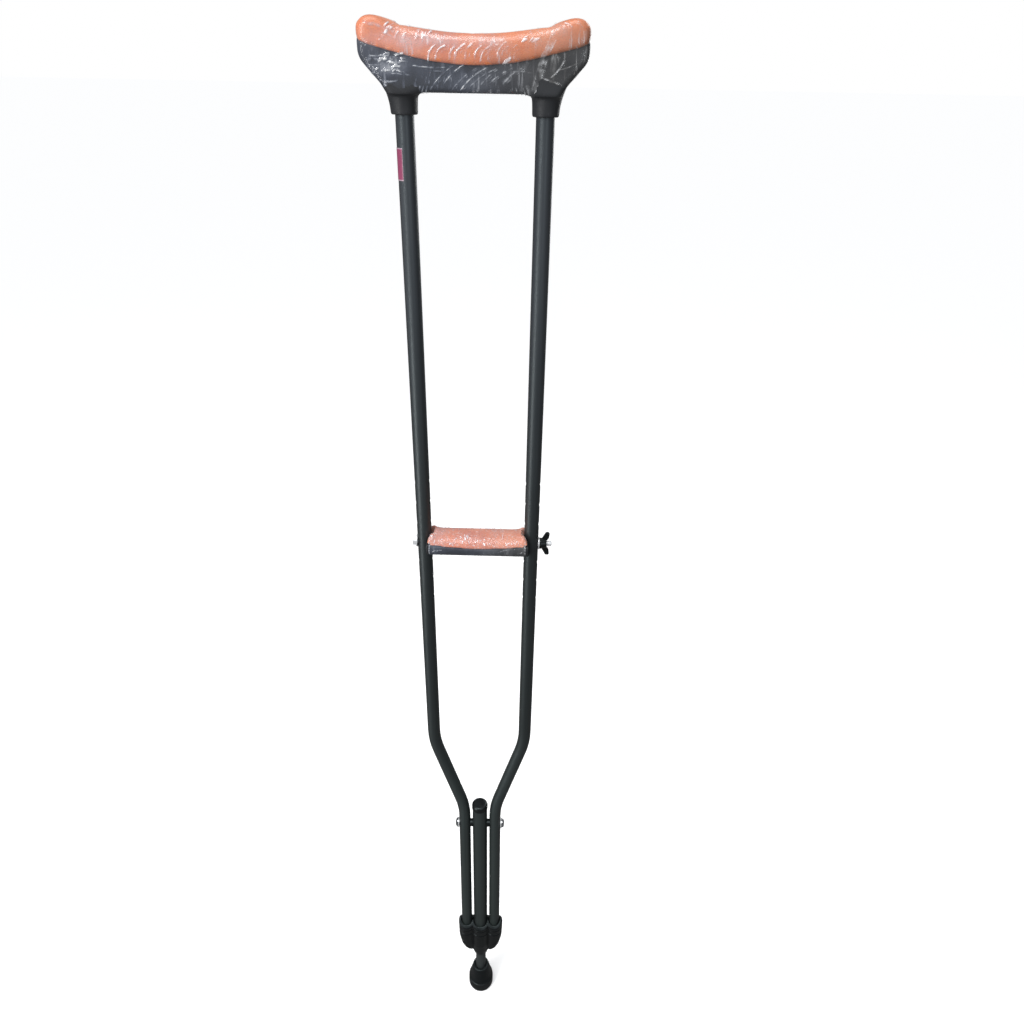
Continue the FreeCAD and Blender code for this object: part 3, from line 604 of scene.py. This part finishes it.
def make_grip_cover():
    mesh = remeshed(node_mesh("grip_cushion"), 1.6 * MM, 3)
    points = points_of(mesh)
    rise = points[:, 2] - COVER_LOW.z
    inward = 1.0 - smooth_step(np.abs(points[:, 0]), 0.048, 0.054)
    free = smooth_step(rise, 2.0 * MM, 7.0 * MM) * inward
    inflate(mesh, CUSHION_PRESSURE, free, 1.2 * MM)
    # the ends turn up
    points = points_of(mesh)
    reach = np.abs(points[:, 0])
    ends = smooth_step(reach, 0.040, 0.054)
    points[:, 2] += 3.0 * MM * ends * smooth_step(rise, 3.0 * MM, 10.0 * MM)
    # the ears in front of and behind the tubes are cut back towards their tops
    cut = 6.0 * MM * smooth_step(reach, 0.047, 0.054) * smooth_step(rise, 2.0 * MM, 13.0 * MM)
    points[:, 0] -= np.sign(points[:, 0]) * cut
    set_points(mesh, points)
    mesh = with_modifiers(mesh, ("SUBSURF", {"levels": 1}))
    cover = add_piece("grip_cover", mesh, "grip_foam", "grip", "grip_cushion")
    return cover


cushion = make_pad()
grip_cover = make_grip_cover()

# moulded parts: copies with the soft blends and rounded rims of injection moulding


def mould(name, node, material, body, voxel, passes):
    piece = add_piece(name, remeshed(node_mesh(node), voxel, passes), material, body, node)
    return piece


housing = mould("housing_moulding", "underarm_housing", "housing_plastic", "frame", 1.1 * MM, 14)
mould("bracket_moulding", "bottom_bracket", "bracket_plastic", "frame", 0.6 * MM, 5)
grip = mould("grip_moulding", "grip_core", "grip_plastic", "grip", 0.8 * MM, 4)
mould("wing_nut_moulding", "wing_nut", "bracket_plastic", "wing_nut", 0.35 * MM, 4)


# clear packing film, stretched over the pad with its housing and over the grip


def layered_noise(points, scale, seed, stretch=(1.0, 1.0, 1.0)):
    """Perlin noise at every point, in a space stretched along the axes."""
    spots = points * np.asarray(stretch) * scale + seed
    return np.array([noise.noise(Vector(spot)) for spot in spots])


def bowed(start, end, bow=0.0, steps=7):
    """A line of (x, z) spots from start to end, bowed to its left by a share of its length."""
    start, end = np.array(start), np.array(end)
    run = end - start
    side = np.array((-run[1], run[0]))
    share = np.linspace(0.0, 1.0, steps)[:, None]
    return start + run * share + side * bow * np.sin(np.pi * share)


def fold_along(spots, line, width, strength):
    """Strength on the line, fading over width metres to each side and towards both ends."""
    nearest = np.full(len(spots), np.inf)
    along = np.zeros(len(spots))
    for index, (start, end) in enumerate(zip(line[:-1], line[1:])):
        run = end - start
        share = np.clip(((spots - start) @ run) / (run @ run), 0.0, 1.0)
        distance = np.linalg.norm(spots - (start + share[:, None] * run), axis=1)
        closer = distance < nearest
        nearest = np.where(closer, distance, nearest)
        along = np.where(closer, (index + share) / (len(line) - 1), along)
    ends = smooth_step(along, 0.0, 0.12) * (1.0 - smooth_step(along, 0.85, 1.0))
    return strength * np.exp(-(nearest / width) ** 2) * ends


def folds_on(points, folds, broken):
    """The strongest fold at every point of both faces; broken is how finely noise breaks them up."""
    facing_back = points[:, 1] > 0.0
    spots = np.stack([np.where(facing_back, -points[:, 0], points[:, 0]), points[:, 2]], 1)
    total = np.zeros(len(points))
    for line, width, strength in folds:
        total = np.maximum(total, fold_along(spots, line, width, strength))
    speckle = np.clip(0.85 + 1.3 * layered_noise(points, broken, 7.0), 0.1, 1.3)
    return np.clip(total * speckle, 0.0, 1.0)


FILM_GAP = 0.35 * MM


def drop_inner_shells(work):
    """Keeps the largest connected group of faces, and drops the loose shells inside a hollow."""
    work.faces.ensure_lookup_table()
    seen, groups = set(), []
    for face in work.faces:
        if face.index in seen:
            continue
        group, queue = [], [face]
        seen.add(face.index)
        while queue:
            here = queue.pop()
            group.append(here)
            for edge in here.edges:
                for other in edge.link_faces:
                    if other.index not in seen:
                        seen.add(other.index)
                        queue.append(other)
        groups.append(group)
    groups.sort(key=len)
    loose = [face for group in groups[:-1] for face in group]
    bmesh.ops.delete(work, geom=loose, context="FACES")


def wrap(name, pieces, voxel, passes, is_kept, body, wrinkle):
    """A single sheet that lies a little off the pieces; is_kept picks its faces by their centres."""
    mesh = remeshed(joined_meshes([piece.data for piece in pieces]), voxel, passes)
    work = bmesh.new()
    work.from_mesh(mesh)
    cut_away = [face for face in work.faces if not is_kept(face.calc_center_median())]
    bmesh.ops.delete(work, geom=cut_away, context="FACES")
    drop_inner_shells(work)
    work.to_mesh(mesh)
    work.free()
    mesh = with_modifiers(mesh, ("SUBSURF", {"levels": 1}))
    points = points_of(mesh)
    normals = np.empty(len(mesh.vertices) * 3)
    mesh.vertex_normals.foreach_get("vector", normals)
    normals = normals.reshape(-1, 3)
    height, fold, haze = wrinkle(points)
    set_points(mesh, points + normals * (FILM_GAP + height)[:, None])
    for kind, values in (("crease", fold), ("haze", haze)):
        layer = mesh.attributes.new(kind, "FLOAT", "POINT")
        layer.data.foreach_set("value", values.astype(np.float32))
    film = add_piece(name, mesh, "film", body)
    return film


# the film's cut edges: half the width of the arch between the sockets, the height of the left edge and
# its shallow wave (in radians for each metre), and the point and slopes of the V over the right socket
ARCH_REACH = 44.5 * MM
LEFT_EDGE, LEFT_WAVE, WAVE_RATE = 1.3262, 1.2 * MM, 350.0
V_PLACE, V_HEIGHT, V_OUTER_SLOPE, V_INNER_SLOPE = 0.054, 1.3338, 0.32, 2.9


def over_pad(centre):
    """Whether the film covers the spot: it ends on both sockets, and runs on under the arch."""
    if centre.x < 0.0:
        edge = LEFT_EDGE + LEFT_WAVE * math.sin(WAVE_RATE * centre.x)
    else:
        past = centre.x - V_PLACE
        edge = V_HEIGHT - (V_OUTER_SLOPE * past if past > 0.0 else -V_INNER_SLOPE * past)
    return centre.z > edge or abs(centre.x) < ARCH_REACH


def pad_folds():
    """The folds that the film shows, whitened partly as painted highlights: (line of x, z spots; half
    width; strength).
    """
    draw = np.random.default_rng(11)
    border = PAD_LOW.z
    folds = []

    def fold(start, end, bow, width, strength):
        folds.append((bowed(start, end, bow), width * MM, strength))

    # crescents down the middle of the pad: upright at the top, bending to the lower left
    for x in np.arange(-0.026, 0.036, 0.0068):
        x = x + draw.uniform(-0.0015, 0.0015)
        top = (x, border + draw.uniform(0.0115, 0.0155))
        low = (x - draw.uniform(0.006, 0.010), border + draw.uniform(-0.001, 0.002))
        fold(top, low, -0.2, draw.uniform(0.45, 0.8), draw.uniform(0.55, 0.9))
        fold((x + 0.002, top[1] - 0.003), (low[0] + 0.003, low[1] + 0.002), -0.2, 0.35, 0.4)
    # long soft diagonals on the hard middle, with a fine bright line in each
    for x in np.arange(-0.034, 0.024, 0.0078):
        x = x + draw.uniform(-0.002, 0.002)
        low = (x, border - draw.uniform(0.015, 0.021))
        top = (x + draw.uniform(0.018, 0.027), border - draw.uniform(0.0, 0.003))
        fold(low, top, 0.05, draw.uniform(1.2, 2.0), draw.uniform(0.12, 0.24))
        fold(low, top, 0.06, draw.uniform(0.3, 0.5), draw.uniform(0.45, 0.85))
        beside = draw.uniform(0.0018, 0.0032)
        low, top = (low[0] + beside, low[1]), (top[0] + beside, top[1])
        fold(low, top, 0.05, 0.3, draw.uniform(0.2, 0.45))
    # fine steep streaks left of the middle
    for x in np.arange(-0.047, 0.004, 0.0036):
        x = x + draw.uniform(-0.001, 0.001)
        foot = border - draw.uniform(0.014, 0.021)
        top = (x + 0.002, foot + draw.uniform(0.006, 0.013))
        fold(top, (x, foot), 0.0, 0.35, draw.uniform(0.15, 0.4))
    # crumpled patches, whitened as painted glints: the left end of the housing, the left bulb and the
    # middle of the pad
    patches = [((-0.069, border - 0.001), (0.011, 0.0065), 38, 80.0),
               ((-0.064, border + 0.019), (0.010, 0.005), 14, 60.0),
               ((-0.040, border + 0.0155), (0.007, 0.0015), 9, 20.0),
               ((0.044, border + 0.0155), (0.006, 0.001), 6, 75.0),
               ((0.027, border + 0.001), (0.004, 0.0015), 6, 60.0)]
    for (x, z), (wide, high), count, lean in patches:
        for _ in range(count):
            start = np.array((x + draw.uniform(-wide, wide), z + draw.uniform(-high, high)))
            turn = math.radians(lean + draw.uniform(-25.0, 25.0))
            run = draw.uniform(0.003, 0.007) * np.array((math.sin(turn), math.cos(turn)))
            fold(start, start + run, 0.1, draw.uniform(0.35, 0.9), draw.uniform(0.5, 1.0))
    # a painted sheen down the slope of the left bulb
    for step in range(4):
        x, z = -0.088 + 0.002 * step, border + 0.0265 - 0.0036 * step
        fold((x, z), (-0.050, z - 0.013), 0.06, 1.5 - 0.25 * step, 0.34 - 0.05 * step)
    # level creases on the left, the thin one under the border, and the film's lower edge
    for z in (border + 0.003, border + 0.001, border - 0.0035, border - 0.0085):
        fold((-0.086, z + 0.001), (-0.048, z - 0.001), 0.02, 0.4, 0.5)
        fold((-0.088, z), (-0.058, z), 0.0, 1.4, 0.2)
    fold((-0.051, border - 0.002), (-0.020, border - 0.003), -0.03, 0.4, 0.6)
    fold((-0.045, border - 0.0045), (0.030, border - 0.0065), -0.02, 0.35, 0.28)
    fold((-0.077, border - 0.012), (-0.060, border - 0.0125), -0.1, 0.5, 0.6)
    fold((0.030, border - 0.005), (0.050, border - 0.0065), 0.02, 0.4, 0.45)
    # a broad milky band where the film doubles over the right shoulder, and the ridge beside it
    band = np.array([(0.067, 0.028), (0.062, 0.015), (0.057, 0.006), (0.0525, -0.009),
                     (0.049, -0.0215)])
    folds.append((band + (0.0, border), 3.0 * MM, 0.34))
    folds.append((band + (0.0024, border), 0.5 * MM, 0.5))
    folds.append((band + (-0.0026, border), 0.5 * MM, 0.4))
    fold((0.073, border + 0.004), (0.061, border - 0.010), 0.08, 0.6, 0.5)
    fold((0.084, border + 0.002), (0.066, border - 0.004), 0.05, 0.4, 0.4)
    for step in range(3):
        start, end = 0.062 + 0.009 * step, 0.070 + 0.008 * step
        fold((start, border + 0.028), (end, border + 0.025), 0.1, 0.5, 0.7)
    # webs at the corners of the arch, and the V over the right socket
    for side, x in ((-1, 0.046), (1, 0.043)):
        for step in range(4):
            top, foot = side * (x - 0.003 * step), side * (x - 0.003 * step + 0.003)
            fold((top, border - 0.016), (foot, border - 0.023), 0.0, 0.5, 0.5)
        fold((side * x, border - 0.014), (side * (x + 0.003), border - 0.023), 0.0, 1.6, 0.22)
    fold((0.054, border - 0.009), (0.050, border - 0.021), 0.0, 0.5, 0.5)
    fold((0.054, border - 0.009), (0.072, border - 0.0145), 0.0, 0.5, 0.5)
    return folds


# how cloudy each film is, 0 to 1
PAD_HAZE, GRIP_HAZE = 0.07, 0.12
# where the pad's is more cloudy or less; the whiter spots over the upper middle, on both bulbs and at
# the housing's left end are painted highlights: x, height over the border, half width, half height,
# change
PAD_HAZE_AND_SHEEN = ((-0.008, 0.0145, 0.050, 0.0045, 0.20),
              (-0.066, 0.0160, 0.022, 0.0075, 0.30),
              (0.070, 0.0240, 0.012, 0.0050, 0.10),
              (-0.004, -0.0110, 0.024, 0.0100, 0.05),
              (-0.067, -0.0030, 0.014, 0.0055, 0.26),
              (-0.082, 0.0005, 0.010, 0.0030, -0.05),
              (0.074, -0.0020, 0.014, 0.0100, -0.07),
              (0.026, -0.0140, 0.014, 0.0060, -0.06))


def pad_haze(points):
    """Cloudiness of the pad's film, with its painted highlights: none on the sockets, so that its cut
    edge hardly shows.
    """
    x = np.where(points[:, 1] > 0.0, -points[:, 0], points[:, 0])
    above = points[:, 2] - PAD_LOW.z
    haze = np.full(len(points), PAD_HAZE)
    for place, height, wide, high, change in PAD_HAZE_AND_SHEEN:
        haze += change * np.exp(-((x - place) / wide) ** 2 - ((above - height) / high) ** 2)
    between = 1.0 - smooth_step(np.abs(points[:, 0]), 0.040, 0.048)
    above_sockets = smooth_step(points[:, 2], 1.325, 1.338)
    return np.clip(haze, 0.0, 1.0) * np.clip(between + above_sockets, 0.0, 1.0)


def pad_wrinkle(points):
    fold = folds_on(points, pad_folds(), 260.0)
    crumple = layered_noise(points, 160.0, 2.0) + 0.5 * layered_noise(points, 420.0, 5.0)
    return (0.8 * fold + 0.16 * crumple) * MM, fold, pad_haze(points)


GRIP_FILM_REACH = 53.5 * MM


def over_grip(centre):
    return abs(centre.x) < GRIP_FILM_REACH


def grip_folds():
    """Painted sparkles along the front edge of the cover, at its corners, and a few marks on the hard
    face.
    """
    draw = np.random.default_rng(5)
    edge, reach = COVER_LOW.z + 0.003, 0.054
    folds = []
    for _ in range(70):
        x = draw.uniform(-reach, reach)
        z = edge + draw.uniform(-0.001, 0.0065) + 0.002 * abs(x) / reach
        turn = draw.uniform(0.0, math.pi)
        run = draw.uniform(0.0012, 0.004) * np.array((math.cos(turn), math.sin(turn)))
        folds.append((bowed((x, z), np.array((x, z)) + run, 0.1), draw.uniform(0.3, 0.6) * MM,
                      draw.uniform(0.4, 1.0)))
    for x in (-0.050, -0.046, 0.022, 0.026, 0.047):
        z = edge - draw.uniform(0.004, 0.008)
        folds.append((bowed((x, z), (x + 0.008, z + 0.003), 0.15), 0.5 * MM, 0.55))
    for side in (-1, 1):
        line = bowed((side * 0.0525, edge + 0.010), (side * 0.053, edge - 0.012))
        folds.append((line, 0.6 * MM, 0.6))
    return folds


def grip_wrinkle(points):
    fold = folds_on(points, grip_folds(), 700.0)
    haze = np.full(len(points), GRIP_HAZE)
    return (0.5 * fold + 0.2 * layered_noise(points, 260.0, 4.0)) * MM, fold, haze


wrap("pad_film", (cushion, housing), 1.4 * MM, 6, over_pad,
     "frame", pad_wrinkle)
wrap("grip_film", (grip, grip_cover), 1.1 * MM, 2, over_grip, "grip",
     grip_wrinkle)


# the rolled thread on the free end of the grip bolt


def make_bolt():
    """The bolt's own head and shank, with a rolled thread from thread_start to the point."""
    thread_start, point, crest, root, pitch = 0.0635, BOLT_HIGH.x, 3.0 * MM, 2.6 * MM, 1.0 * MM
    height = (BOLT_LOW.z + BOLT_HIGH.z) / 2.0
    work = bmesh.new()
    work.from_mesh(node_mesh("grip_bolt"))
    everything = work.verts[:] + work.edges[:] + work.faces[:]
    bmesh.ops.bisect_plane(work, geom=everything, clear_outer=True,
                           plane_co=(thread_start, 0.0, 0.0), plane_no=(1.0, 0.0, 0.0))
    bmesh.ops.holes_fill(work, edges=[edge for edge in work.edges if edge.is_boundary])
    around, step = 32, pitch / 8.0
    rows = int((point - thread_start) / step)
    rings = []
    for row in range(rows + 1):
        x = thread_start + row * step
        taper = min(1.0, (point - x) / (1.2 * MM) + 0.55)
        ring = []
        for index in range(around):
            angle = 2.0 * math.pi * index / around
            phase = (x / pitch - index / around) % 1.0
            depth = 1.0 - abs(2.0 * phase - 1.0)
            radius = (root + (crest - root) * min(1.0, 1.6 * depth)) * min(1.0, taper)
            spot = (x, radius * math.cos(angle), height + radius * math.sin(angle))
            ring.append(work.verts.new(spot))
        rings.append(ring)
    for ring, after in zip(rings[:-1], rings[1:]):
        for index in range(around):
            beyond = (index + 1) % around
            work.faces.new((ring[index], after[index], after[beyond], ring[beyond]))
    work.faces.new(rings[0])
    work.faces.new(rings[-1][::-1])
    bmesh.ops.recalc_face_normals(work, faces=work.faces[:])
    mesh = bpy.data.meshes.new("threaded_bolt")
    work.to_mesh(mesh)
    work.free()
    bolt = add_piece("threaded_bolt", mesh, "zinc", "grip", "grip_bolt")
    for polygon in mesh.polygons:
        polygon.use_smooth = False


make_bolt()
